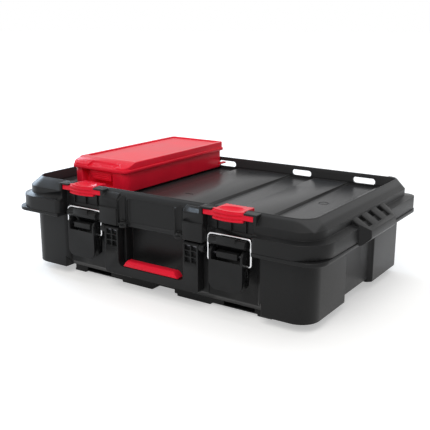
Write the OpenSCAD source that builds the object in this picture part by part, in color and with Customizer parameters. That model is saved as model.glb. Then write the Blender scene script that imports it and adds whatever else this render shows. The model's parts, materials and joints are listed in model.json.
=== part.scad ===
// Stackable tool case with a clip-on organiser box.
// Millimetres. +X runs to the right along the front, -Y is the front with the latches,
// +Z is up, and the origin is on the floor under the middle of the case with its hinges.

/* [Case] */
// Width over the lid skirt
case_w = 560; // [530:5:640]
// Depth over the lid skirt
case_d = 363.4; // [350:1:420]
// Height of the lid's lower edge above the floor, where lid and tub part
part_z = 109.5; // [104:0.5:150]
// Wall thickness of tub and lid
wall = 3; // [2:0.1:3.6]
// How far the tub walls stand in from the lid skirt
tub_in = 19; // [17.5:0.5:21]
// Height of the tub walls' lower edge above the floor
hem_z = 13.5; // [12.5:0.5:16]

/* [Lid] */
// Height of the lid's lower tier
low_h = 21; // [19:0.5:26]
// How far the upper tier stands in from the skirt
tier_in = 10.7; // [9:0.1:12]
// Height of the rim above the lid's lower edge
rim_h = 49.4; // [48:0.2:58]
// Depth of the tray in the lid's top
tray_h = 17.9; // [16:0.1:19]
// Depth of the four channels in the tray
chan_h = 4; // [2:0.5:4.5]
// Widest opening of the lid, in degrees (the record's joint range)
lid_open = 105; // [90:1:110]

/* [Latches] */
// Distance from the handle's side to the middle of each latch and stack clip
latch_off = 48; // [46:0.5:51]
// Width of the latch lever
lever_w = 55; // [50:0.5:57]
// Height of the latch lever
lever_h = 58; // [50:0.5:60]
// Diameter of the bail wire
bail_d = 3.4; // [2.6:0.1:3.6]
// Distance between the bail's two legs, middle to middle
bail_w = 70; // [66:0.5:71]
// Diameter of the pins in the levers
lever_pin_d = 4; // [3:0.1:4.4]

/* [Handle] */
// Width of the handle over its arms
handle_w = 176; // [170:1:177]
// Width of each handle arm
arm_w = 26.5; // [22:0.5:30]
// Height of the bar below the red grip
bar_h = 14; // [10:0.5:18]
// Height of the red grip
grip_h = 10.5; // [9:0.5:16]
// Diameter of the handle's pivot pins
handle_pin_d = 5; // [4:0.1:6]

/* [Stack clips] */
// Width over the wings of a clip
clip_w = 81; // [76:0.5:82]
// Width of the finger plate of a clip
clip_plate_w = 46; // [40:0.5:50]

/* [Organiser] */
// Width of the organiser's base
org_w = 115; // [110:0.5:118]
// Gap between the stack clip's rear edge and the organiser's front
org_gap = 22.4; // [21.5:0.5:40]
// Height of the organiser's base
org_h = 31; // [26:0.5:36]
// Height of the organiser's lid
org_lid_h = 15.5; // [15:0.5:18]
// Wall thickness of the organiser
org_wall = 2.2; // [1.8:0.1:2.6]
// Diameter of the organiser's hinge pin
org_pin_d = 4; // [3:0.1:4.6]

/* [Fits] */
// Radial clearance of every turning pin
pin_play = 0.05; // [0.02:0.01:0.1]
// Gap between pieces that rest on or beside one another
seat_gap = 0.3; // [0.2:0.05:0.5]

/* [Hidden] */
$fn = 64;
eps = 0.01;
grey = [0.21, 0.21, 0.22];
dark = [0.14, 0.14, 0.15];
red = [0.85, 0.12, 0.18];
steel = [0.78, 0.78, 0.8];

hw = case_w / 2;
hd = case_d / 2;
// tub
tub_hw = hw - tub_in;
tub_hd = hd - tub_in - 0.2;
flange_h = 5.8;
flange_z = part_z - flange_h;
tongue_h = 4.5;
floor_z = hem_z + wall;
low_floor_z = 6.5;
plinth_z = 3.5;
latch_x = handle_w / 2 + latch_off;
plinth_hw = latch_x + 57;
plinth_hd = hd - 43.7;
foot_in = latch_x - 50;
foot_out = latch_x + 30;
// front of the case between its corners
mid_x = latch_x + 42;
mid_y = -hd + 7.7;
recess_y = -hd + 27.2;
pocket_x = handle_w / 2 - 30;
pocket_y = -hd + 40.7;
pillar_y = recess_y - 3;
latch_in = handle_w / 2 + 8.5;
latch_out = mid_x;
// side recess of the tub
side_y = 45;
side_in = 6.5;
// lid
ledge_z = part_z + low_h;
upper_z = ledge_z + 3;
edge_z = upper_z + 11;
rim_z = part_z + rim_h;
tray_z = rim_z - tray_h;
chan_z = tray_z - chan_h;
under_z = chan_z - 3.5;
// inner and outer channel of the tray, each from its inner to its outer edge
chan_a = [latch_x - 79, latch_x - 37];
chan_b = [latch_x + 33, latch_x + 81];
rim_in = 26;
tray_hw = hw - rim_in - 1;
tray_front = -hd + rim_in + 1;
tray_rear = hd - 22.7;
rear_wall = 4;
upper_front = -hd + tier_in;
upper_rear = hd - 14.7;
face_y = -hd + 21.2;
cavity_y = face_y + wall + 2;
drop_z = part_z - 3.5;
// hinge of the lid
hinge_y = hd + 6.5;
hinge_z = part_z;
hinge_r = 6;
hinge_pin_r = 2.5;
hinge_x = 150;
knuckle_l = 20;
// latch: lever pivot, bail pivot and bail crossbar
lever_y = -hd + 15.7;
lever_z = part_z - 15;
hook_y = lever_y + 1;
hook_z = lever_z - 12;
bar_z = part_z + 11.5;
lever_front = lever_y - 9.5;
lever_back = lever_y + 9;
lever_top = lever_z + 7;
lever_bot = lever_top - lever_h;
lug_r = 4.8;
lug_w = lever_w - 20;
keeper_z = part_z - 2.5;
keeper_front = lever_y - 8;
lip_y = lever_y - 9.5;
// handle
arm_front = -hd + 9.2;
arm_back = arm_front + 13;
grip_y = (arm_front + arm_back) / 2;
arm_z = part_z - 12.5;
arm_r = 6.5;
bar_bot = 28.5;
grip_z = bar_bot + bar_h;
grip_half = handle_w / 2 - 37;
lattice_x = handle_w / 2 - arm_w + 3;
// clip
clip_top = rim_z - 0.4;
clip_front = -hd + 6.2;
clip_rear = -hd + 44.7;
clip_floor = rim_z - 8;
wing_front = -hd + 11.2;
wing_back = wing_front + 6;
wing_bot = rim_z - 10.9;
wing_top = rim_z - 3.4;
clip_bulge = 62;
scoop_deep = 5;
scoop_bend = 42.5;
scoop_round = 17;
shelf_z = rim_z - 0.6;
// organiser
org_x = -latch_x - 12.5;
org_left = org_x - org_w / 2;
org_right = org_x + org_w / 2;
org_y1 = tray_rear - 0.6;
org_y0 = clip_rear + org_gap;
org_z0 = tray_z + seat_gap;
org_z1 = org_z0 + org_h;
org_lid_z0 = org_z1 + seat_gap;
org_lid_z1 = org_lid_z0 + org_lid_h;
org_lid_back = org_y1 + 4.6;
org_pin_y = org_y1 + 4.1;
org_pin_z = org_lid_z0 + 7.8;
org_barrel_r = 4.4;
org_ear_w = 10;
org_ears = [org_left + 19.5, org_right - 29.5];
notch_x0 = org_left + 19.5;
notch_x1 = org_right - 29.5;
notch_in = 14;
org_tab_w = 6.5;
org_tabs = [org_left + 2, org_right - 3];
// middle and width of the inner and the outer rear slot, which the organiser's tabs fit
slot_a = [-org_right - 13, 38];
slot_b = [-org_left - 11, 40];
flap_w = 44;
flap_x = notch_x1 - 4.5 - flap_w / 2;
flap_z = org_z1 - 3.7;
flap_y = org_y0 + 5.6;
flap_pin_d = 2.4;
flap_r = 3.4;

// Shapes that several pieces share

// Rounded rectangle with one radius for its front corners and one for its rear corners
module rrect(x0, x1, y0, y1, rf, rr) {
    translate([x0, y0 + rf]) square([x1 - x0, y1 - y0 - rf - rr]);
    translate([x0 + rf, y0]) square([x1 - x0 - 2 * rf, rf + eps]);
    translate([x0 + rr, y1 - rr - eps]) square([x1 - x0 - 2 * rr, rr + eps]);
    for (x = [x0 + rf, x1 - rf]) translate([x, y0 + rf]) circle(rf);
    for (x = [x0 + rr, x1 - rr]) translate([x, y1 - rr]) circle(rr);
}

// Moves a finished piece back to the middle of the whole case, hinges included. All the
// modules measure from the middle of the lid's skirt.
module place() translate([0, -(hinge_y + hinge_r - hd) / 2, 0]) children();

// A plan outline raised between two heights
module raise(z0, z1) translate([0, 0, z0]) linear_extrude(z1 - z0) children();

// A box between two corners
module block(x0, x1, y0, y1, z0, z1)
    translate([x0, y0, z0]) cube([x1 - x0, y1 - y0, z1 - z0]);

// A round bar along X
module bar_x(x0, x1, y, z, r) translate([x0, y, z]) rotate([0, 90, 0]) cylinder(r = r, h = x1 - x0);

// A YZ outline drawn as [y, z] points, raised along X
module along_x(x0, x1) translate([x0, 0, 0]) rotate([90, 0, 90]) linear_extrude(x1 - x0) children();

// An XZ outline drawn as [x, z] points, raised along Y
module along_y(y0, y1) translate([0, y1, 0]) rotate([90, 0, 0]) linear_extrude(y1 - y0) children();

// The same thing on both sides of the middle plane
module both() {
    children();
    mirror([1, 0, 0]) children();
}

// The tub

module side_notch(extra) {
    polygon([[tub_hw + 5, -side_y - side_in - extra - 5], [tub_hw - side_in - extra, -side_y - extra],
        [tub_hw - side_in - extra, side_y + extra], [tub_hw + 5, side_y + side_in + extra + 5]]);
}

module tub_outline() {
    difference() {
        rrect(-tub_hw, tub_hw, -tub_hd, tub_hd, 30, 18);
        translate([-mid_x - 8, -hd]) square([2 * mid_x + 16, recess_y + hd]);
        translate([-pocket_x, -hd]) square([2 * pocket_x, pocket_y + hd]);
        both() side_notch(0);
    }
    both() intersection() {
        translate([mid_x + 8, recess_y]) circle(8);
        translate([mid_x - 1, -tub_hd]) square([12, 20]);
    }
}

module tub_inside() {
    difference() {
        rrect(-tub_hw + wall, tub_hw - wall, -tub_hd + wall, tub_hd - wall, 27, 15);
        translate([-mid_x - 8 - wall, -hd]) square([2 * (mid_x + 8 + wall), recess_y + wall + hd]);
        translate([-pocket_x - wall, -hd]) square([2 * (pocket_x + wall), pocket_y + wall + hd]);
        both() side_notch(wall);
    }
}

module tub_flange() {
    difference() {
        rrect(-hw - 1.2, hw + 1.2, -hd, hd, 28, 18);
        translate([-mid_x - 2, -hd - 1]) square([2 * mid_x + 4, recess_y + hd + 1]);
        both() translate([tub_hw - side_in, -59]) square([60, 118]);
        tub_inside();
    }
}

// The plinth under the floor, its feet and the slots for the clips of a case below
module tub_plinth() {
    difference() {
        union() {
            raise(plinth_z, hem_z + 1) rrect(-plinth_hw, plinth_hw, -plinth_hd, plinth_hd, 8, 8);
            both() for (m = [0, 1]) mirror([0, m, 0]) {
                block(foot_in - 62, foot_in, -plinth_hd, -plinth_hd + 40, 0, plinth_z + 1);
                block(foot_out, plinth_hw - 3, -plinth_hd, -plinth_hd + 40, 0.6, plinth_z + 1);
            }
        }
        both() for (m = [0, 1]) mirror([0, m, 0])
            block(latch_x - 26, latch_x + 26, -plinth_hd - 1, -plinth_hd + 25, 5, 10.5);
        for (m = [0, 1]) mirror([0, m, 0])
            block(-19, 19, -plinth_hd - 1, -plinth_hd + 12, plinth_z - 1, 10.5);
    }
}

// Pillar face beside the handle pocket, and the ear that holds the handle's pin
module handle_mount() {
    block(pocket_x, latch_in, pillar_y, recess_y + 1, hem_z + 10, flange_z + 1);
    difference() {
        union() {
            bar_x(handle_w / 2 + 0.8, latch_in, grip_y, arm_z, arm_r);
            block(handle_w / 2 + 0.8, latch_in, grip_y, recess_y + 1, arm_z - arm_r, arm_z + arm_r);
        }
        bar_x(0, 2 * latch_x, grip_y, arm_z, handle_pin_d / 2);
    }
}

// Lug in the lever's window that holds the latch pin
module latch_lug() {
    x0 = latch_x - lug_w / 2;
    x1 = latch_x + lug_w / 2;
    difference() {
        union() {
            bar_x(x0, x1, lever_y, lever_z, lug_r);
            block(x0, x1, lever_y - 6.5, lever_y, lever_z - 5, lever_z + 4.6);
            along_x(x0, x1) polygon([[lever_y - 2, lever_z - lug_r + 0.6], [lever_y + 3.4, lever_z - 3.4],
                [recess_y + 1, lever_z - 3.4], [recess_y + 1, lever_z - 18], [lever_y + 4, lever_z - 12]]);
        }
        bar_x(x0 - 1, x1 + 1, lever_y, lever_z, lever_pin_d / 2);
    }
}

module hinge_knuckle(x0, x1, z0, z1) {
    difference() {
        union() {
            bar_x(x0, x1, hinge_y, hinge_z, hinge_r);
            block(x0, x1, hd - 6, hinge_y, z0, z1);
        }
        bar_x(x0 - 1, x1 + 1, hinge_y, hinge_z, hinge_pin_r);
    }
}

// Everything below the sloped hem under the latches and the handle
module front_slope(half, up)
    along_x(-half, half) polygon([[-hd, hem_z - 1], [-hd, hem_z + 11 + recess_y + hd + up],
        [recess_y + 12 + up, hem_z - 1]]);

module tub() color(grey) {
    difference() {
        union() {
            raise(hem_z, part_z + tongue_h) tub_outline();
            raise(flange_z, part_z) tub_flange();
            tub_plinth();
            both() handle_mount();
            both() latch_lug();
            both() for (x = [hinge_x - 1.5 * knuckle_l, hinge_x + 0.5 * knuckle_l + 0.5])
                hinge_knuckle(x, x + knuckle_l - 0.5, flange_z, part_z - 0.3);
        }
        difference() {
            raise(floor_z, 2 * part_z) tub_inside();
            // the inside follows the sloped hem and the raised hems of the side recesses
            front_slope(mid_x + 8 + wall, wall * sqrt(2));
            both() block(tub_hw - side_in - 10 - wall, hw, -side_y - wall, side_y + wall, 0, hem_z + 5 + wall);
        }
        block(-plinth_hw + wall, plinth_hw - wall, -plinth_hd + 29, plinth_hd - 29, low_floor_z, floor_z + 1);
        // sloped hem under the latches and the handle
        front_slope(mid_x + 8, 0);
        // the tongue stops where the lid's front wall comes down
        block(-mid_x - 13, mid_x + 13, -hd, recess_y - 0.5, part_z, part_z + tongue_h + 1);
        // raised hem of the side recesses
        both() block(tub_hw - side_in - 10, hw, -side_y, side_y, hem_z - 1, hem_z + 5);
    }
}

// The lid

module lid_low_outline() {
    difference() {
        rrect(-hw, hw, -hd, hd, 45, 18);
        translate([-mid_x - 7.7, -hd - 1]) square([2 * mid_x + 15.4, mid_y + hd + 1]);
    }
    both() intersection() {
        translate([mid_x + 7.7, mid_y]) circle(7.7);
        translate([mid_x - 1, -hd]) square([12, 30]);
    }
}

// The sloping ledge and the sloping rim band
module lid_slopes() {
    difference() {
        hull() {
            raise(ledge_z - eps, ledge_z) rrect(-hw + 1.3, hw - 1.3, -hd + 1.3, hd - 1.3, 45, 18);
            raise(upper_z - eps, upper_z) rrect(-hw + tier_in, hw - tier_in, upper_front, upper_rear, 36, 20);
        }
        block(-mid_x - 7.7, mid_x + 7.7, -hd - 1, mid_y, 0, 2 * rim_z);
    }
    hull() {
        raise(edge_z - eps, edge_z) rrect(-hw + tier_in, hw - tier_in, upper_front, upper_rear, 36, 20);
        raise(rim_z - 4, rim_z) rrect(-hw + rim_in, hw - rim_in, -hd + rim_in, upper_rear - 0.5, 25, 18);
    }
}

// Side block that the clips of a case above catch on
module side_block() {
    difference() {
        intersection() {
            along_y(-60, 60) polygon([[hw - 18, part_z], [hw - 18, tray_z], [hw - 10.7, tray_z],
                [hw + 14, part_z + 16], [hw + 14.5, part_z + 5], [hw + 4, part_z - 5], [hw - 0.5, part_z - 5.5]]);
            // plan view, narrower at the outside
            raise(0, rim_z) polygon([[hw - 20, -58], [hw - 1, -58], [hw + 16, -46], [hw + 16, 46],
                [hw - 1, 58], [hw - 20, 58]]);
        }
        for (y = [-34, 0, 34]) {
            along_y(y - 7, y + 7) polygon([[hw - 13, tray_z + 3], [hw - 13, tray_z - 4], [hw - 8, tray_z - 4],
                [hw + 5, part_z + 17], [hw + 8, part_z + 22], [hw + 8, tray_z + 3]]);
            block(hw - 12, hw - 4, y - 7, y + 7, part_z + 14, tray_z + 1);
        }
    }
}

module channel(x0, x1)
    along_y(tray_front - eps, tray_rear + eps) polygon([[x0 - chan_h, tray_z], [x0, chan_z], [x1, chan_z],
        [x1 + chan_h, tray_z], [x1 + chan_h, tray_z + 1], [x0 - chan_h, tray_z + 1]]);

module rear_slot(x, w)
    along_y(tray_rear - 2, hd) {
        translate([x - w / 2 + 5.2, tray_z + 1]) square([w - 10.4, 10.4]);
        for (s = [-1, 1]) translate([x + s * (w / 2 - 5.2), tray_z + 6.2]) circle(5.2);
    }

// Black shelf that covers the wings of one clip, with a post at each of its ends
module clip_shelf() {
    x = clip_w / 2 + 1;
    block(latch_x - x - 5, latch_x + x + 5, upper_front - 1, tray_front, wing_top, shelf_z);
    for (s = [-1, 1]) block(latch_x + s * (x + 2.5) - 2.5, latch_x + s * (x + 2.5) + 2.5,
        upper_front - 1, tray_front, wing_bot - 4, shelf_z);
}

// Everything cut away around one latch and one clip
module latch_bay() {
    block(latch_in, latch_out, -hd - 1, face_y, drop_z - 1, wing_bot - 1);
    block(latch_x - clip_w / 2 - 1, latch_x + clip_w / 2 + 1, -hd - 1, wing_back + 1, wing_bot - 1,
        wing_top + seat_gap);
    block(latch_x - clip_plate_w / 2 - 3, latch_x + clip_plate_w / 2 + 3, -hd - 1, wing_back + 1,
        wing_bot - 1, rim_z + 1);
    block(latch_x - clip_plate_w / 2 - 1, latch_x + clip_plate_w / 2 + 1, -hd - 1, tray_front + 1,
        clip_floor - seat_gap, rim_z + 1);
    block(latch_in, latch_out, face_y - 1, face_y + 1.5, ledge_z - 3, wing_bot - 1);
}

// The keeper that the bail hooks over, and the ribs under the clip. The seat is round
// about the middle of the path that the bail takes, so that the bail never touches it.
module keeper() {
    difference() {
        union() {
            along_x(latch_x - 30, latch_x + 30) polygon([[keeper_front + 3, keeper_z],
                [keeper_front, keeper_z + 2.5], [keeper_front, keeper_z + 9], [keeper_front + 3, keeper_z + 12],
                [face_y + 1, keeper_z + 12], [face_y + 1, keeper_z]]);
            along_x(latch_x - 15.5, latch_x + 15.5) polygon([[lip_y, keeper_z + 8], [lip_y, bar_z + 4],
                [face_y + 1, bar_z + 4], [face_y + 1, keeper_z + 5], [keeper_front, keeper_z + 5]]);
        }
        bar_x(latch_x - 31, latch_x + 31, lever_y, bar_z + lever_z - hook_z,
            lever_z - hook_z + bail_d / 2 + seat_gap);
        block(latch_x - 31, latch_x + 31, lever_y, face_y, bar_z - bail_d / 2 - seat_gap, bar_z + 5);
    }
    for (x = [-24, 0, 24])
        block(latch_x + x - 1.2, latch_x + x + 1.2, face_y - 1.5, face_y + 2, ledge_z - 3, wing_bot - 1.5);
}

module lid() color(grey) {
    difference() {
        union() {
            raise(part_z, ledge_z) lid_low_outline();
            raise(upper_z, edge_z) rrect(-hw + tier_in, hw - tier_in, upper_front, upper_rear, 36, 20);
            lid_slopes();
            both() side_block();
            both() clip_shelf();
            // posts beside the front plate, and the ledge under each groove
            both() along_x(62, latch_in) polygon([[upper_front - 1, upper_z], [upper_front - 1, edge_z + 2],
                [upper_front + 7, edge_z + 10], [tray_front, edge_z + 10], [tray_front, upper_z]]);
            // drop of the front wall below the parting line
            block(-latch_out, latch_out, mid_y, cavity_y - 2, drop_z, part_z + 1);
            both() hinge_knuckle(hinge_x - 0.5 * knuckle_l, hinge_x + 0.5 * knuckle_l, part_z + 0.3, ledge_z - 12);
        }
        // tray and its channels
        raise(tray_z, rim_z + 1) rrect(-tray_hw, tray_hw, tray_front, tray_rear, 24, 12);
        both() for (c = [chan_a, chan_b]) channel(c[0], c[1]);
        // inside of the lid
        difference() {
            raise(drop_z - 1, ledge_z - 1.5) rrect(-hw + 14, hw - 14, -hd + 14, hd - 14, 32, 10);
            block(-mid_x - 12, mid_x + 12, -hd, cavity_y, 0, rim_z);
            // the sides come in to the tub's wall where its flange is cut for the side blocks
            raise(0, rim_z) both() {
                side_notch(-0.4);
                translate([tub_hw + 0.4, -61]) square([30, 122]);
            }
        }
        raise(ledge_z - 3, under_z) rrect(-tub_hw - 1, tub_hw + 1, cavity_y, tray_rear - 1, 14, 8);
        // room under the tray between the channels
        both() for (x = [[-1, chan_a[0] - 11], [chan_a[1] + 9, chan_b[0] - 13], [chan_b[1] + 10, tray_hw - 4]])
            block(x[0], x[1], cavity_y + 4, tray_rear - 4, under_z - 1, tray_z - 3.5);
        // thin rear wall of the rim and its slots
        block(-slot_b[0] - 40, slot_b[0] + 40, tray_rear + rear_wall, hd, upper_z, rim_z + 1);
        both() for (t = [slot_a, slot_b]) rear_slot(t[0], t[1]);
        both() latch_bay();
        // shallow bed of the plain front plate, with a round groove on each side
        block(-45, 45, -hd, upper_front + 5, drop_z - 1, tray_z + 11);
        both() translate([53, upper_front - 0.5, drop_z + 5]) cylinder(r = 8.2, h = tray_z + 6 - drop_z);
        block(-62, 62, -hd, upper_front - 0.6, drop_z - 1, upper_z + 2);
        block(-42, 42, -hd, upper_front + 5.8, part_z + 4, tray_z + 8);
        // two small oval marks on the middle line of the tray
        for (y = [-60, 135]) raise(tray_z - 0.6, tray_z + 1) translate([-8, y]) {
            square([11, 4], center = true);
            for (x = [-5.5, 5.5]) translate([x, 0]) circle(2);
        }
        // round mark in each outer channel
        both() raise(chan_z - 0.6, chan_z + 1) translate([chan_b[0] + 21, 17]) difference() {
            circle(8);
            circle(6.6);
        }
    }
    both() keeper();
    // two round ledges under each groove
    both() intersection() {
        translate([53, upper_front + 5, 0]) {
            raise(part_z - 5, part_z - 1.5) circle(8.2);
            raise(part_z, part_z + 3.5) circle(6.6);
        }
        block(44, 62, -hd, upper_front + 9, drop_z - 2, part_z + 10);
    }
}

// The pins

module hinge_pin() color(steel)
    bar_x(hinge_x - 1.5 * knuckle_l - 1, hinge_x + 1.5 * knuckle_l + 1, hinge_y, hinge_z, hinge_pin_r - pin_play);

module latch_pin() color(steel)
    bar_x(latch_x - lever_w / 2 + 0.8, latch_x + lever_w / 2 - 0.8, lever_y, lever_z, lever_pin_d / 2);

module handle_pin() color(steel)
    bar_x(handle_w / 2 - arm_w + 4, latch_in - 0.5, grip_y, arm_z, handle_pin_d / 2);

// The latch

module latch_lever() color(dark) {
    w = lever_w / 2;
    difference() {
        union() {
            // front plate with round lower corners
            along_y(lever_front, lever_front + 3) translate([latch_x, 0])
                rrect(-w, w, lever_bot, lever_z + 3, 12, 2);
            // cheeks, round about the pin at their top
            for (s = [-1, 1]) along_x(latch_x + s * (w - 1.75) - 1.75, latch_x + s * (w - 1.75) + 1.75) {
                translate([lever_y, lever_z]) circle(lever_y - lever_front);
                polygon([[lever_front, lever_bot + 12], [lever_front, lever_z], [lever_back, lever_z],
                    [lever_back, lever_bot + 8], [lever_front + 4, lever_bot + 4]]);
            }
            block(latch_x - w + 1, latch_x + w - 1, lever_front + 1, lever_y + 2, lever_bot + 16, lever_bot + 18.5);
        }
        // window, open at its top, so that the lug can reach the pin
        block(latch_x - w + 3.5, latch_x + w - 3.5, lever_front - 1, lever_front + 4, lever_z - 8, lever_z + 4);
        bar_x(latch_x - w - 1, latch_x + w + 1, lever_y, lever_z, lever_pin_d / 2 + pin_play);
        bar_x(latch_x - w - 1, latch_x + w + 1, hook_y, hook_z, bail_d / 2 + pin_play);
        // long slots in the cheeks
        for (y = [lever_y - 2.5, lever_y + 3.5])
            block(latch_x - w - 1, latch_x + w + 1, y, y + 2.2, lever_bot + 22, hook_z - 5);
    }
}

module latch_bail() color(steel) {
    r = bail_d / 2;
    bend = 5;
    low = 3;
    half = bail_w / 2;
    translate([latch_x, hook_y, 0]) {
        for (m = [0, 1]) mirror([m, 0, 0]) {
            // end in the lever's cheek, bend, leg, bend
            translate([lever_w / 2 - 3, 0, hook_z]) rotate([0, 90, 0]) cylinder(r = r, h = half - low - lever_w / 2 + 3);
            translate([half - low, 0, hook_z + low]) rotate([90, 0, 0]) rotate([0, 0, -90])
                rotate_extrude(angle = 90) translate([low, 0]) circle(r);
            translate([half, 0, hook_z + low]) cylinder(r = r, h = bar_z - bend - hook_z - low);
            translate([half - bend, 0, bar_z - bend]) rotate([90, 0, 0])
                rotate_extrude(angle = 90) translate([bend, 0]) circle(r);
        }
        bar_x(-half + bend, half - bend, 0, bar_z, r);
    }
}

// The handle

module handle_frame() color(grey) difference() {
    union() {
        along_y(arm_front, arm_back) difference() {
            rrect(-handle_w / 2, handle_w / 2, bar_bot, arm_z, 4, 0.5);
            rrect(-handle_w / 2 + arm_w, handle_w / 2 - arm_w, grip_z, arm_z + 20, 8, 1);
        }
        both() bar_x(handle_w / 2 - arm_w, handle_w / 2, grip_y, arm_z, arm_r);
        // rib inside the grip
        block(-grip_half + 6, grip_half - 6, grip_y - 3, grip_y + 3, grip_z - 1, grip_z + 5);
    }
    both() {
        // recess with two rows of three windows
        block(lattice_x - 0.8, lattice_x + 21.3, arm_front - 1, arm_front + 0.8, arm_z - 25.3, arm_z + 2.8);
        for (c = [0, 1]) for (r = [0 : 2])
            block(lattice_x + 11 * c, lattice_x + 9.5 + 11 * c,
                arm_front - 1, arm_front + 5.5, arm_z - 24.5 + 9.2 * r, arm_z - 16.8 + 9.2 * r);
        bar_x(handle_w / 2 - arm_w + 4, handle_w, grip_y, arm_z, handle_pin_d / 2 + pin_play);
    }
}

module handle_grip() color(red) difference() {
    along_x(-grip_half, grip_half) translate([grip_y, grip_z + seat_gap])
        rrect(-7.4, 7.4, 0, grip_h, 3, 4.5);
    // slanted ends
    both() along_y(arm_front - 5, arm_back + 5)
        polygon([[grip_half + 1, grip_z], [grip_half - 7, grip_z + grip_h + 1], [grip_half + 1, grip_z + grip_h + 1]]);
    block(-grip_half + 6 - seat_gap, grip_half - 6 + seat_gap, grip_y - 3 - seat_gap, grip_y + 3 + seat_gap,
        grip_z - 1, grip_z + 5 + seat_gap);
}

// The stack clip

module stack_clip() color(red) translate([latch_x, 0, 0]) {
    p = clip_plate_w / 2;
    // finger plate with a scoop, bulging grip body, wings and rear hook
    difference() {
        union() {
            block(-p, p, clip_front + 6, clip_rear, clip_floor, clip_top);
            intersection() {
                block(-p - 2, p + 2, clip_front - 1, wing_back, wing_bot - 4, clip_top);
                translate([0, clip_front + clip_bulge, 0]) {
                    cylinder(r = clip_bulge - 1.5, h = 2 * rim_z);
                    // three ridges across the grip body
                    for (z = [wing_bot - 4, wing_bot + 1, wing_bot + 6])
                        translate([0, 0, z]) cylinder(r = clip_bulge, h = 3);
                }
            }
            block(-clip_w / 2, clip_w / 2, wing_front, wing_back, wing_bot, wing_top);
            block(-p + 2, p - 2, clip_rear - 3, clip_rear, clip_floor - 6, clip_floor + 1);
        }
        // the scoop is part of a ring, so that it is wide and runs out at both ends
        translate([0, clip_front + 17, clip_top - scoop_deep + scoop_bend]) rotate([90, 0, 0])
            rotate_extrude() translate([scoop_bend - scoop_round, 0]) circle(scoop_round);
        // serrated rear edge
        for (x = [-p + 5.5 : 6 : p - 5]) translate([x, clip_rear - 1.5, clip_floor - 7]) rotate(45)
            cube([3, 3, 20]);
    }
}

// The organiser

module org_outline(d) rrect(org_left + d, org_right - d, org_y0 + d, org_y1 - d, 12 - d, 8 - d);

module organiser_ears() for (x = org_ears) {
    along_x(x, x + org_ear_w) polygon([[org_y1 - 7, org_z1 - 9], [org_y1 - 7, org_z1 - 1],
        [org_pin_y - 3, org_pin_z + 3], [org_pin_y + 3, org_pin_z - 3], [org_y1 - 0.5, org_z1 - 11]]);
    bar_x(x, x + org_ear_w, org_pin_y, org_pin_z, org_barrel_r);
}

module organiser_base() color(red) difference() {
    union() {
        difference() {
            raise(org_z0, org_z1) org_outline(0);
            difference() {
                raise(org_z0 + org_wall, org_z1 + 20) org_outline(org_wall);
                // wall behind the notch
                block(notch_x0 - org_wall, notch_x1 + org_wall, org_y0 - 1, org_y0 + notch_in + org_wall,
                    0, 2 * rim_z);
            }
            block(notch_x0, notch_x1, org_y0 - 1, org_y0 + notch_in, org_z0 + 5, 2 * rim_z);
        }
        organiser_ears();
        // tabs that reach through the lid's rear slots
        for (x = org_tabs)
            block(x, x + org_tab_w, org_y1 - 8.5, org_y1 + 10, tray_z + 5, tray_z + 8);
        // toe behind the clip
        block(notch_x0 + 16, notch_x1 - 4, clip_rear + 1.6, org_y0 + 10, org_z0, org_z0 + 5);
    }
    bar_x(org_x - org_w, org_x + org_w, org_pin_y, org_pin_z, org_pin_d / 2);
}

module organiser_lid_outline(d)
    rrect(org_left - 3.4 + d, org_right + 3.4 - d, org_y0 - 3.4 + d, org_lid_back - d, 13 - d, 9 - d);

module organiser_lid() color(red) difference() {
    union() {
        difference() {
            union() {
                raise(org_lid_z0, org_lid_z0 + 5) organiser_lid_outline(-0.6);
                raise(org_lid_z0 + 4, org_lid_z1) organiser_lid_outline(1.4);
            }
            // sloping front
            along_x(org_x - org_w, org_x + org_w) polygon([[org_y0 - 5, org_lid_z0 + 6], [org_y0 - 5, org_lid_z1 + 1],
                [org_y0 + 21.6, org_lid_z1 + 1], [org_y0 + 21.6, org_lid_z1]]);
            // shallow panel in the top and the hollow below it
            raise(org_lid_z1 - 1.6, org_lid_z1 + 1) rrect(org_left + 5, org_right - 5,
                org_y0 + 28, org_lid_back - 8, 5, 5);
            raise(org_lid_z0 - 1, org_lid_z1 - 4) rrect(org_left + 1, org_right - 1,
                org_y0 + 24, org_y1 - 12, 5, 5);
            // room for the base's ears
            for (x = org_ears)
                block(x - seat_gap, x + org_ear_w + seat_gap, org_y1 - 9, org_lid_back + 2, org_lid_z0 - 1,
                    org_pin_z + org_barrel_r + seat_gap);
        }
        // barrel between the ears
        bar_x(org_ears[0] + org_ear_w + seat_gap, org_ears[1] - seat_gap, org_pin_y, org_pin_z, org_barrel_r);
        block(org_ears[0] + org_ear_w + seat_gap, org_ears[1] - seat_gap, org_lid_back - 2, org_pin_y,
            org_pin_z - 3, org_pin_z + org_barrel_r);
        // ears for the latch
        for (x = [flap_x - flap_w / 2 - seat_gap - 3, flap_x + flap_w / 2 + seat_gap])
            block(x, x + 3, flap_y - 3.2, flap_y + 3.2, flap_z - 3.2, org_lid_z0 + 1);
    }
    // thumb recess in the slope, with a ledge above the lip
    along_x(org_left + 34.5, org_right - 20.5) polygon([[org_y0 - 6, org_lid_z0 + 5.2],
        [org_y0 + 3.5, org_lid_z0 + 5.2], [org_y0 + 9.5, org_lid_z0 + 9], [org_y0 + 13, org_lid_z1 + 1],
        [org_y0 - 6, org_lid_z1 + 1]]);
    bar_x(org_x - org_w, org_x + org_w, org_pin_y, org_pin_z, org_pin_d / 2 + pin_play);
    bar_x(flap_x - flap_w, flap_x + flap_w, flap_y, flap_z, flap_pin_d / 2);
}

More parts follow.
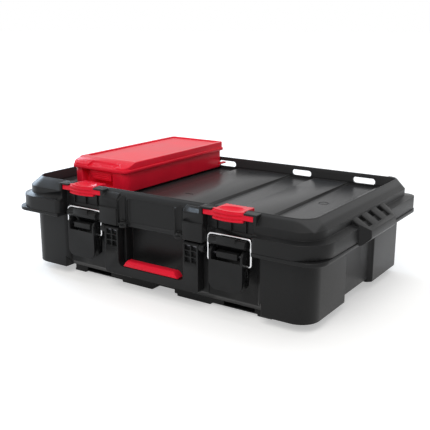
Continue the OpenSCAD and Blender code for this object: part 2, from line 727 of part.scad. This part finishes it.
module organiser_latch() color(red) difference() {
    union() {
        bar_x(flap_x - flap_w / 2, flap_x + flap_w / 2, flap_y, flap_z, flap_r);
        block(flap_x - flap_w / 2, flap_x + flap_w / 2, flap_y - flap_r, flap_y, flap_z - 13, flap_z);
        block(flap_x - 12, flap_x + 12, flap_y - flap_r, flap_y + 5, flap_z - 13, flap_z - 10.5);
        // three grip ridges
        for (z = [3.5, 6.5, 9.5])
            bar_x(flap_x - flap_w / 2 + 5, flap_x + flap_w / 2 - 5, flap_y - flap_r + 0.2, flap_z - z, 0.8);
    }
    bar_x(flap_x - flap_w, flap_x + flap_w, flap_y, flap_z, flap_pin_d / 2 + pin_play);
}

module organiser_hinge_pin() color(steel)
    bar_x(org_ears[0] + 1, org_ears[1] + org_ear_w - 1, org_pin_y, org_pin_z, org_pin_d / 2);

module organiser_latch_pin() color(steel)
    bar_x(flap_x - flap_w / 2 - seat_gap - 2.6, flap_x + flap_w / 2 + seat_gap + 2.6, flap_y, flap_z, flap_pin_d / 2);

place() tub();
place() lid();
place() mirror([1, 0, 0]) hinge_pin();  // left_hinge_pin
place() hinge_pin();  // right_hinge_pin
place() mirror([1, 0, 0]) latch_lever();  // left_latch_lever
place() latch_lever();  // right_latch_lever
place() mirror([1, 0, 0]) latch_bail();  // left_latch_bail
place() latch_bail();  // right_latch_bail
place() mirror([1, 0, 0]) latch_pin();  // left_latch_pin
place() latch_pin();  // right_latch_pin
place() handle_frame();
place() handle_grip();
place() mirror([1, 0, 0]) handle_pin();  // left_handle_pin
place() handle_pin();  // right_handle_pin
place() mirror([1, 0, 0]) stack_clip();  // left_stack_clip
place() stack_clip();  // right_stack_clip
place() organiser_base();
place() organiser_lid();
place() organiser_latch();
place() organiser_hinge_pin();
place() organiser_latch_pin();
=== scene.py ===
"""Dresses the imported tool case: a shallow stackable case with draw latches, a carrying
handle and sliding stack clips, and a red organiser box standing in the tray of its lid.
Everything is in metres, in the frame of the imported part."""
import json
import math

import bmesh
import bpy
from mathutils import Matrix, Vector


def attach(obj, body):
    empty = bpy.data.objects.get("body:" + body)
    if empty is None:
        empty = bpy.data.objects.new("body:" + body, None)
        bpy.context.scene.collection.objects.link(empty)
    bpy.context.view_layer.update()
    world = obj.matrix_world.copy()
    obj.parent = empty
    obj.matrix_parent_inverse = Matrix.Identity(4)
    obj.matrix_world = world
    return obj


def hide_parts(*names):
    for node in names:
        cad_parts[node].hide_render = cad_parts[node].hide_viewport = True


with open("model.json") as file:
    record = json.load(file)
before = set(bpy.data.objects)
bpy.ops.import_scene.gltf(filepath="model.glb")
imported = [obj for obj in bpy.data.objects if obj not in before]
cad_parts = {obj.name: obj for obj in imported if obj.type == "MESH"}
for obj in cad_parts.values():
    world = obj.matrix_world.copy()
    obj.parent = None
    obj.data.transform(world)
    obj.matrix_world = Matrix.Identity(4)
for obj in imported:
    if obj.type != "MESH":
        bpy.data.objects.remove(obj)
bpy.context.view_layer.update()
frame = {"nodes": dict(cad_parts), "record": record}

bl_info = {
    "name": "Stackable tool case",
    "version": (1, 0, 0),
    "blender": (4, 5, 0),
    "location": "View3D > Sidebar > Tool case",
    "description": "Finishes the packed tool case and sets its studio",
    "category": "Object",
}

MM = 0.001

# limits along X, Y and Z and the width of their soft ends, of the tray's floor and of its walls; the floor
# is painted lighter as a painted reflection, the walls as painted light
TRAY_FLOOR = ((-255 * MM, 255 * MM, 2 * MM), (-165 * MM, 154 * MM, 2 * MM), (135.5 * MM, 142.5 * MM, MM))
TRAY_WALLS = ((-262 * MM, 262 * MM, 2 * MM), (-165 * MM, 156 * MM, 2 * MM), (143.5 * MM, 158 * MM, MM))

# an edge is rounded where its two sides turn by more than this
SHARP = math.radians(28.0)
# two faces belong to one flat side where the cosine between their normals is above this
FLAT = math.cos(math.radians(0.5))
# an edge goes straight on into the next one where the line turns by less than this
STRAIGHT = math.radians(32.0)
# edges belong to one running line, of one width, where it turns by less than this
LINE = math.radians(45.0)
# a line with less room than this stays sharp
LEAST = 0.12 * MM
# the share of the room that a rounding takes: on a curve, at an edge's end and across a face
CURVE_SHARE = 0.45
END_SHARE = 0.40
ACROSS_SHARE = 0.45
# where along an edge the width of its face is measured
PROBES = (0.02, 0.5, 0.98)
# corners closer than this are one
WELD = 0.002 * MM
# faces across each rounding
SEGMENTS = 3
# lengths, slants and turns below these count as none, and a hit may lie this share past a side's end
NO_LENGTH = 1e-9
NO_SLANT = 1e-12
NO_TURN = 0.01
PAST_END = 0.001

# half the width of the sheet that the case stands on
FLOOR_REACH = 30.0
# what the lamps are aimed at
MIDDLE = (0.0, 0.0, 0.1)
# name, place, size, share of the key's strength and colour of each lamp
LAMPS = (("key_lamp", (0.6, -1.8, 2.0), 1.6, 1.0, (1.0, 0.98, 0.94)),
         ("top_lamp", (0.0, 0.6, 2.4), 2.4, 0.7, (1.0, 1.0, 1.0)),
         ("cool_lamp", (-1.9, 0.5, 0.9), 0.9, 0.8, (0.66, 0.82, 1.0)))


class Value:
    """A shader socket that can stand in a Python expression."""

    def __init__(self, tree, socket):
        self.tree, self.socket = tree, socket

    def calc(self, operation, *others, first=None):
        terms = [self, *others] if first is None else [first, self, *others]
        return self.tree.add("ShaderNodeMath", {"operation": operation}, dict(enumerate(terms)))[0]

    def __add__(self, other):
        return self.calc("ADD", other)

    __radd__ = __add__

    def __sub__(self, other):
        return self.calc("SUBTRACT", other)

    def __rsub__(self, other):
        return self.calc("SUBTRACT", first=other)

    def __mul__(self, other):
        return self.calc("MULTIPLY", other)

    def clip(self, low=0.0, high=1.0):
        return self.calc("MAXIMUM", low).calc("MINIMUM", high)

    def ramp(self, start, stop):
        """0 below start and 1 above stop, with a smooth step between."""
        out = self.tree.add("ShaderNodeMapRange", {"interpolation_type": "SMOOTHSTEP"},
                            {"Value": self, "From Min": start, "From Max": stop})
        return out[0]


class Finish:
    """One material and the calls that add nodes to it."""

    def __init__(self, name):
        self.material = bpy.data.materials.new(name)
        self.material.use_nodes = True
        self.nodes = self.material.node_tree.nodes
        self.links = self.material.node_tree.links
        self.shader = self.nodes["Principled BSDF"]
        self.place = self.add("ShaderNodeTexCoord", {}, {}, "Object")

    def add(self, kind, settings, inputs, output=None):
        """Adds a node of one kind, sets it, feeds its sockets and returns its outputs."""
        node = self.nodes.new(kind)
        for key, value in settings.items():
            setattr(node, key, value)
        for key, value in inputs.items():
            self.feed(node.inputs[key], value)
        if output is not None:
            return Value(self, node.outputs[output])
        return [Value(self, socket) for socket in node.outputs]

    def feed(self, socket, value):
        if isinstance(value, Value):
            self.links.new(value.socket, socket)
        else:
            socket.default_value = value

    def axes(self):
        return self.add("ShaderNodeSeparateXYZ", {}, {0: self.place})

    def noise(self, scale, detail, rough, stretch=None):
        where = self.place
        if stretch:
            where = self.add("ShaderNodeVectorMath", {"operation": "MULTIPLY"},
                             {0: self.place, 1: stretch})[0]
        return self.add("ShaderNodeTexNoise", {}, {"Vector": where, "Scale": scale,
                        "Detail": detail, "Roughness": rough})[0]

    def grain(self, scale):
        return self.add("ShaderNodeTexVoronoi", {"feature": "F1"},
                        {"Vector": self.place, "Scale": scale})[0]

    def blend(self, factor, first, second):
        return self.add("ShaderNodeMix", {"data_type": "RGBA"},
                        {0: factor, 6: first, 7: second})[2]

    def edges(self, radius):
        """Where the surface turns sharply within a radius, from 0 to 1, and the softened normal."""
        soft = self.add("ShaderNodeBevel", {"samples": 6}, {"Radius": radius}, "Normal")
        own = self.add("ShaderNodeNewGeometry", {}, {}, "Normal")
        dot = self.add("ShaderNodeVectorMath", {"operation": "DOT_PRODUCT"}, {0: soft, 1: own}, "Value")
        return (1 - dot).clip(), soft

    def bump(self, height, strength, distance, normal=None):
        inputs = {"Height": height, "Strength": strength, "Distance": distance}
        if normal is not None:
            inputs["Normal"] = normal
        return self.add("ShaderNodeBump", {}, inputs, "Normal")

    def set(self, **values):
        for key, value in values.items():
            self.feed(self.shader.inputs[key.replace("_", " ")], value)


def rgba(colour):
    return (*colour, 1.0)


def scaled(colour, k):
    return (colour[0] * k, colour[1] * k, colour[2] * k, 1.0)


def inside(axes, box):
    """1 inside a box with soft ends, given by its limits along each axis."""
    share = 1.0
    for value, (low, high, soft) in zip(axes, box):
        share = value.ramp(low - soft, low + soft) * (1 - value.ramp(high - soft, high + soft)) * share
    return share


def charcoal_plastic(look):
    """Charcoal polypropylene with a fine moulded grain, smoother in the tray of the lid; a painted
    reflection lightens the tray's floor, painted light lightens its walls and painted highlights lighten
    sharp edges.
    """
    f = Finish("charcoal_plastic")
    cloud = f.noise(9.0, 4.0, 0.6)
    speck = f.noise(900.0, 2.0, 0.5)
    grain = f.grain(2600.0)
    edge, soft = f.edges(look.case_edge)
    axes = f.axes()
    tray, painted_wall_light = inside(axes, TRAY_FLOOR), inside(axes, TRAY_WALLS)
    tone = (cloud * 0.5 + speck * 0.5).ramp(0.3, 0.72)
    colour = f.blend(tone, scaled(look.case_colour, 0.85), scaled(look.case_colour, 1.15))
    # painted reflection: the tray's floor is painted lighter where the white backdrop would shine off it
    colour = f.blend(tray * 0.8, colour, scaled(look.case_colour, 2.6))
    # painted light: the tray's inner walls are painted lighter, as if a fill lamp lit them
    colour = f.blend(painted_wall_light, colour, scaled(look.case_colour, 3.2))
    # painted highlight: the charcoal is painted lighter along sharp edges
    colour = f.blend(edge.ramp(0.02, 0.35) * 0.4, colour, scaled(look.case_colour, 2.4))
    rough = look.case_rough + (cloud - 0.5) * (1 - tray) * 0.10 + (speck - 0.5) * 0.08 - tray * 0.05
    f.set(Base_Color=colour, Roughness=rough.clip(0.1, 0.9),
          Normal=f.bump(grain, 0.10, 0.3 * MM, soft), Specular_IOR_Level=look.sheen, IOR=1.5)
    return f.material


def black_plastic(look):
    """Black, smoother plastic of the levers and the handle, with painted highlights along its sharp edges.
    """
    f = Finish("black_plastic")
    cloud = f.noise(22.0, 3.0, 0.55)
    speck = f.noise(1300.0, 2.0, 0.5)
    edge, soft = f.edges(look.edge_radius)
    colour = f.blend(cloud.ramp(0.3, 0.7), scaled(look.latch_colour, 0.85), scaled(look.latch_colour, 1.2))
    # painted highlight: the black is painted lighter along sharp edges
    colour = f.blend(edge.ramp(0.02, 0.35) * 0.3, colour, scaled(look.latch_colour, 2.2))
    rough = 0.36 + (cloud - 0.5) * 0.12 + (speck - 0.5) * 0.05
    f.set(Base_Color=colour, Roughness=rough.clip(0.1, 0.9),
          Normal=f.bump(speck, 0.06, 0.3 * MM, soft), Specular_IOR_Level=look.sheen, IOR=1.5)
    return f.material


def satin_red(look):
    """Satin red plastic, with painted highlights along its sharp edges."""
    f = Finish("satin_red")
    cloud = f.noise(14.0, 3.0, 0.55)
    speck = f.noise(1100.0, 2.0, 0.5)
    edge, soft = f.edges(look.edge_radius)
    colour = f.blend(cloud.ramp(0.3, 0.7), scaled(look.red_colour, 0.93), scaled(look.red_colour, 1.05))
    # painted highlight: the red is painted brighter along sharp edges
    colour = f.blend(edge.ramp(0.02, 0.4) * 0.25, colour, rgba((0.95, 0.03, 0.05)))
    rough = 0.30 + (cloud - 0.5) * 0.1 + (speck - 0.5) * 0.06
    f.set(Base_Color=colour, Roughness=rough.clip(0.1, 0.9),
          Normal=f.bump(speck, 0.05, 0.3 * MM, soft), Specular_IOR_Level=look.red_sheen, IOR=1.5)
    return f.material


def plated_wire(look):
    """Bright plated spring wire with faint drawing lines."""
    f = Finish("plated_wire")
    cloud = f.noise(60.0, 3.0, 0.6)
    fine = f.noise(700.0, 2.0, 0.5, (1.0, 1.0, 0.15))
    colour = f.blend(cloud.ramp(0.35, 0.75), rgba((0.80, 0.80, 0.81)), rgba((0.66, 0.66, 0.68)))
    f.set(Base_Color=colour, Metallic=1.0, Roughness=(0.16 + cloud * 0.12).clip(0.05, 0.6),
          Normal=f.bump(fine, 0.04, 0.2 * MM))
    return f.material


def plain_steel(look):
    """Dark turned steel of the pins."""
    f = Finish("plain_steel")
    cloud = f.noise(80.0, 3.0, 0.6)
    turned = f.noise(900.0, 2.0, 0.5, (3.0, 0.3, 0.3))
    colour = f.blend(cloud.ramp(0.3, 0.7), rgba((0.15, 0.15, 0.16)), rgba((0.10, 0.10, 0.11)))
    f.set(Base_Color=colour, Metallic=1.0, Roughness=(0.3 + cloud * 0.15).clip(0.05, 0.7),
          Normal=f.bump(turned, 0.08, 0.2 * MM))
    return f.material


FINISHES = {"case_plastic": charcoal_plastic, "latch_plastic": black_plastic, "red_plastic": satin_red,
            "bail_steel": plated_wire, "steel": plain_steel}
SLOT_OF = {part["node"]: part["material_slot"] for part in frame["record"]["subparts"]}
BODY_OF = {node: body for body, nodes in frame["record"]["behaviour"]["bodies"].items() for node in nodes}


def finish(slot):
    """The finish of one of the record's material slots, made once."""
    make = FINISHES[slot]
    return bpy.data.materials.get(make.__name__) or make(bpy.context.scene.toolcase_look)


def dress(*nodes):
    """Gives CAD nodes that stay as they are their finishes."""
    for node in nodes:
        part = frame["nodes"][node]
        part.data.materials.clear()
        part.data.materials.append(finish(SLOT_OF[node]))


def join_flats(bm):
    """Joins the triangles of each flat side into a few faces, none of which meets itself round a hole."""
    left, groups = set(bm.faces), []
    for start in list(bm.faces):
        if start not in left:
            continue
        left.remove(start)
        group, corners, edges = [start], set(start.verts), list(start.edges)
        while edges:
            for face in edges.pop().link_faces:
                if face not in left or face.normal.dot(start.normal) < FLAT:
                    continue
                shared = sum(any(side in group for side in edge.link_faces) for edge in face.edges)
                fresh = sum(vert not in corners for vert in face.verts)
                if shared == 1 and fresh == 1:
                    left.remove(face)
                    group.append(face)
                    corners.update(face.verts)
                    edges.extend(face.edges)
        if len(group) > 1:
            groups.append(group)
    for group in groups:
        bmesh.utils.face_join(group)


def bend(vert, edge, other):
    """How far a line turns where it goes on from one edge into another."""
    along = edge.other_vert(vert).co - vert.co
    return math.pi - along.angle(other.other_vert(vert).co - vert.co, 0.0)


def room_beside(edge, most):
    """How wide a rounding the edges that meet an edge's ends leave room for."""
    room = most
    for vert in edge.verts:
        for other in vert.link_edges:
            if other is edge:
                continue
            turn, reach = bend(vert, edge, other), other.calc_length()
            if turn < STRAIGHT:
                # the same line going on round a curve
                room = min(room, CURVE_SHARE * min(edge.calc_length(), reach) / max(turn, NO_TURN))
            elif set(edge.link_faces) & set(other.link_faces):
                room = min(room, END_SHARE * reach * math.sin(turn))
    return room


def room_across(face, most, room):
    """Lowers the room of a flat face's edges to what its width leaves them, looking straight across it."""
    across = face.edges[0].verts[1].co - face.edges[0].verts[0].co
    across = (across - face.normal * across.dot(face.normal)).normalized()
    up = face.normal.cross(across)
    edges = [loop.edge for loop in face.loops]
    ring = [Vector((loop.vert.co.dot(across), loop.vert.co.dot(up))) for loop in face.loops]
    sides = [(start, stop - start) for start, stop in zip(ring, ring[1:] + ring[:1])]
    for i, (start, way) in enumerate(sides):
        if way.length < NO_LENGTH:
            continue
        inward = Vector((-way.y, way.x)).normalized()
        near = {(i - 1) % len(sides), i, (i + 1) % len(sides)}
        for share in PROBES:
            origin, best, hit = start + way * share, 4 * most, None
            for j, (corner, side) in enumerate(sides):
                slant = inward.cross(side)
                if j in near or abs(slant) < NO_SLANT:
                    continue
                gap = corner - origin
                far, part = gap.cross(side) / slant, gap.cross(inward) / slant
                if -1e-7 < far < best and -PAST_END <= part <= 1 + PAST_END:
                    best, hit = far, edges[j]
            if hit is not None:
                for edge in (edges[i], hit):
                    room[edge] = min(room.get(edge, most), ACROSS_SHARE * best)


def even_lines(room):
    """Gives all the edges of one running line the room of its narrowest place."""
    left, even = set(room), {}
    for start in room:
        if start not in left:
            continue
        left.remove(start)
        line = [start]
        for edge in line:
            for vert in edge.verts:
                for other in vert.link_edges:
                    if other in left and bend(vert, edge, other) < LINE:
                        left.remove(other)
                        line.append(other)
        low = min(room[edge] for edge in line)
        even.update((edge, low if low > LEAST else 0.0) for edge in line)
    return even


def rounded(node, width):
    """Stands in for a CAD node with a copy of it whose outer edges are rounded as a moulding's are."""
    mesh = bpy.data.meshes.new("rounded_" + node)
    bm = bmesh.new()
    bm.from_mesh(frame["nodes"][node].data)
    weight = bm.edges.layers.float.new("bevel_weight_edge")
    bmesh.ops.remove_doubles(bm, verts=bm.verts, dist=WELD)
    bmesh.ops.dissolve_degenerate(bm, edges=bm.edges, dist=WELD)
    join_flats(bm)
    across = {}
    for face in bm.faces:
        if len(face.verts) > 3:
            room_across(face, width, across)
    room = {}
    for edge in bm.edges:
        turn = edge.calc_face_angle_signed(0.0)
        edge.smooth = abs(turn) < SHARP
        if turn > SHARP:
            room[edge] = max(0.0, min(room_beside(edge, width), across.get(edge, width)))
    for edge, share in even_lines(room).items():
        edge[weight] = share / width
        edge.smooth = share > 0.0
    for face in bm.faces:
        face.smooth = True
    bm.to_mesh(mesh)
    bm.free()
    mesh.materials.append(finish(SLOT_OF[node]))
    piece = bpy.data.objects.new("rounded_" + node, mesh)
    bpy.context.scene.collection.objects.link(piece)
    bevel = piece.modifiers.new("rounded edges", "BEVEL")
    bevel.width, bevel.segments, bevel.profile = width, SEGMENTS, 0.5
    bevel.limit_method = "WEIGHT"
    bevel.use_clamp_overlap = False
    bevel.harden_normals = True
    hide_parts(node)
    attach(piece, BODY_OF[node])


class TOOLCASE_look(bpy.types.PropertyGroup):
    """Colours and surface values of the case."""
    case_colour: bpy.props.FloatVectorProperty(name="Case colour", description="Charcoal of tub and lid",
        subtype="COLOR", size=3, default=(0.0125, 0.0127, 0.0132), min=0.0, max=1.0)
    latch_colour: bpy.props.FloatVectorProperty(name="Latch colour",
        description="Black of levers and handle", subtype="COLOR", size=3,
        default=(0.0115, 0.0117, 0.0122), min=0.0, max=1.0)
    red_colour: bpy.props.FloatVectorProperty(name="Red",
        description="Red of the organiser, clips and grip", subtype="COLOR", size=3,
        default=(0.84, 0.013, 0.038), min=0.0, max=1.0)
    case_rough: bpy.props.FloatProperty(name="Case roughness",
        description="Roughness of the charcoal plastic", default=0.36, min=0.1, max=0.9)
    sheen: bpy.props.FloatProperty(name="Sheen", description="Specular level of the plastics",
        default=0.16, min=0.0, max=1.0)
    red_sheen: bpy.props.FloatProperty(name="Red sheen", description="Specular level of the red plastic",
        default=0.11, min=0.0, max=1.0)
    case_edge: bpy.props.FloatProperty(name="Case edge radius",
        description="Rounding of tub and lid edges", subtype="DISTANCE", unit="LENGTH",
        default=0.0014, min=0.0001, max=0.003)
    edge_radius: bpy.props.FloatProperty(name="Edge radius",
        description="Rounding of the small pieces' edges", subtype="DISTANCE", unit="LENGTH",
        default=0.0009, min=0.0001, max=0.003)
    clip_edge: bpy.props.FloatProperty(name="Clip edge radius",
        description="Rounding of the stack clips' edges", subtype="DISTANCE", unit="LENGTH",
        default=0.0006, min=0.0001, max=0.003)


class TOOLCASE_studio(bpy.types.PropertyGroup):
    """Camera and lamps."""
    azimuth: bpy.props.FloatProperty(name="Azimuth", description="Camera's turn from straight ahead",
        subtype="ANGLE", default=math.radians(34.03))
    elevation: bpy.props.FloatProperty(name="Elevation", description="Camera's height angle",
        subtype="ANGLE", default=math.radians(15.01))
    place: bpy.props.FloatVectorProperty(name="Place", description="Camera's place",
        subtype="TRANSLATION", unit="LENGTH", size=3, default=(0.6433, -0.95745, 0.4018))
    lens: bpy.props.FloatProperty(name="Lens", description="Focal length on a 36 mm sensor",
        default=59.70, min=20.0, max=200.0)
    key: bpy.props.FloatProperty(name="Key lamp", description="Strength of the key lamp",
        subtype="POWER", unit="POWER", default=27.0, min=0.0)
    ambient: bpy.props.FloatProperty(name="Ambient", description="Strength of the world's own light",
        default=0.36, min=0.0, max=2.0)


class TOOLCASE_OT_case(bpy.types.Operator):
    """Finishes tub, lid and hinges"""
    bl_idname = "toolcase.case"
    bl_label = "Case"

    def execute(self, context):
        dress("left_hinge_pin", "right_hinge_pin")
        for node in ("tub", "lid"):
            rounded(node, context.scene.toolcase_look.case_edge)
        return {"FINISHED"}


class TOOLCASE_OT_latches(bpy.types.Operator):
    """Finishes levers, bails and their pins"""
    bl_idname = "toolcase.latches"
    bl_label = "Latches"

    def execute(self, context):
        for side in ("left", "right"):
            dress(side + "_latch_bail", side + "_latch_pin")
            rounded(side + "_latch_lever", context.scene.toolcase_look.edge_radius)
        return {"FINISHED"}


class TOOLCASE_OT_handle(bpy.types.Operator):
    """Finishes the carrying handle"""
    bl_idname = "toolcase.handle"
    bl_label = "Handle"

    def execute(self, context):
        dress("left_handle_pin", "right_handle_pin")
        for node in ("handle_frame", "handle_grip"):
            rounded(node, context.scene.toolcase_look.edge_radius)
        return {"FINISHED"}


class TOOLCASE_OT_clips(bpy.types.Operator):
    """Finishes the sliding stack clips"""
    bl_idname = "toolcase.clips"
    bl_label = "Stack clips"

    def execute(self, context):
        for node in ("left_stack_clip", "right_stack_clip"):
            rounded(node, context.scene.toolcase_look.clip_edge)
        return {"FINISHED"}


class TOOLCASE_OT_organiser(bpy.types.Operator):
    """Finishes the organiser box"""
    bl_idname = "toolcase.organiser"
    bl_label = "Organiser"

    def execute(self, context):
        dress("organiser_hinge_pin", "organiser_latch_pin")
        for node in ("organiser_base", "organiser_lid", "organiser_latch"):
            rounded(node, context.scene.toolcase_look.edge_radius)
        return {"FINISHED"}


def seen(tree_add):
    """1 for rays that show the background: from the camera, off a glossy surface or through glass."""
    camera, _, _, glossy, _, _, through = tree_add("ShaderNodeLightPath", {}, {})[:7]
    return (camera + glossy + through).clip()


def paper():
    """White paper that keeps the object's shadow and reads as white where it is lit."""
    f = Finish("studio_paper")
    mottle = f.noise(3.0, 2.0, 0.5)
    f.set(Base_Color=f.blend(mottle, rgba((0.84, 0.84, 0.84)), rgba((0.86, 0.86, 0.86))), Roughness=0.9,
          Specular_IOR_Level=0.0, Emission_Color=rgba((1.0, 1.0, 1.0)))
    # away from the lamps the paper gives more of its own white
    far = f.add("ShaderNodeVectorMath", {"operation": "LENGTH"}, {0: f.place}, "Value").ramp(0.7, 2.6)
    f.feed(f.shader.inputs["Emission Strength"], seen(f.add) * (0.42 + far * 0.5))
    return f.material


class Sky(Finish):
    """The world's nodes, with the same calls as a finish."""

    def __init__(self, world):
        world.use_nodes = True
        self.nodes, self.links = world.node_tree.nodes, world.node_tree.links
        self.shader = self.nodes["Background"]


def add_floor():
    """Adds the sheet of paper that the case stands on."""
    mesh = bpy.data.meshes.new("floor")
    bm = bmesh.new()
    bmesh.ops.create_grid(bm, x_segments=1, y_segments=1, size=FLOOR_REACH)
    bm.to_mesh(mesh)
    bm.free()
    floor = bpy.data.objects.new("floor", mesh)
    bpy.context.scene.collection.objects.link(floor)
    mesh.materials.append(paper())


def light_sky(scene, ambient):
    """Shows white behind the case and lights it with less."""
    scene.world = scene.world or bpy.data.worlds.new("studio")
    sky = Sky(scene.world)
    shown = seen(sky.add)
    sky.feed(sky.shader.inputs["Color"], (1.0, 1.0, 1.0, 1.0))
    sky.feed(sky.shader.inputs["Strength"], shown + (1 - shown) * ambient)


def add_lamp(name, spot, size, power, colour):
    """Adds a square lamp that looks at the middle of the case."""
    lamp = bpy.data.lights.new(name, "AREA")
    lamp.shape, lamp.size, lamp.energy, lamp.color = "SQUARE", size, power, colour
    holder = bpy.data.objects.new(name, lamp)
    holder.location = spot
    holder.rotation_euler = (Vector(spot) - Vector(MIDDLE)).to_track_quat("Z", "Y").to_euler()
    bpy.context.scene.collection.objects.link(holder)


def add_camera(studio):
    """Adds the camera at its place, turned by its two angles."""
    camera = bpy.data.cameras.new("camera")
    camera.lens, camera.sensor_width = studio.lens, 36.0
    holder = bpy.data.objects.new("camera", camera)
    az, el = studio.azimuth, studio.elevation
    back = Vector((math.sin(az) * math.cos(el), -math.cos(az) * math.cos(el), math.sin(el)))
    holder.location = studio.place
    holder.rotation_euler = (-back).to_track_quat("-Z", "Y").to_euler()
    bpy.context.scene.collection.objects.link(holder)
    bpy.context.scene.camera = holder


class TOOLCASE_OT_stage(bpy.types.Operator):
    """Adds floor, lamps and camera"""
    bl_idname = "toolcase.stage"
    bl_label = "Stage"

    def execute(self, context):
        scene, studio = context.scene, context.scene.toolcase_studio
        add_floor()
        light_sky(scene, studio.ambient)
        for name, spot, size, share, colour in LAMPS:
            add_lamp(name, spot, size, studio.key * share, colour)
        add_camera(studio)
        scene.view_settings.view_transform = "Standard"
        return {"FINISHED"}


PIECES = (TOOLCASE_OT_case, TOOLCASE_OT_latches, TOOLCASE_OT_handle, TOOLCASE_OT_clips,
          TOOLCASE_OT_organiser, TOOLCASE_OT_stage)


class TOOLCASE_PT_panel(bpy.types.Panel):
    """Lists the pieces and their values"""
    bl_label = "Tool case"
    bl_idname = "TOOLCASE_PT_panel"
    bl_space_type = "VIEW_3D"
    bl_region_type = "UI"
    bl_category = "Tool case"

    def draw(self, context):
        for group in (context.scene.toolcase_look, context.scene.toolcase_studio):
            box = self.layout.box()
            for name in group.__annotations__:
                box.prop(group, name)
        for piece in PIECES:
            self.layout.operator(piece.bl_idname)


CLASSES = (TOOLCASE_look, TOOLCASE_studio, *PIECES, TOOLCASE_PT_panel)


def register():
    for cls in CLASSES:
        bpy.utils.register_class(cls)
    bpy.types.Scene.toolcase_look = bpy.props.PointerProperty(type=TOOLCASE_look)
    bpy.types.Scene.toolcase_studio = bpy.props.PointerProperty(type=TOOLCASE_studio)


def unregister():
    del bpy.types.Scene.toolcase_look
    del bpy.types.Scene.toolcase_studio
    for cls in reversed(CLASSES):
        bpy.utils.unregister_class(cls)


def main():
    register()
    for piece in PIECES:
        group, name = piece.bl_idname.split(".")
        getattr(getattr(bpy.ops, group), name)()


if __name__ == "__main__":
    main()
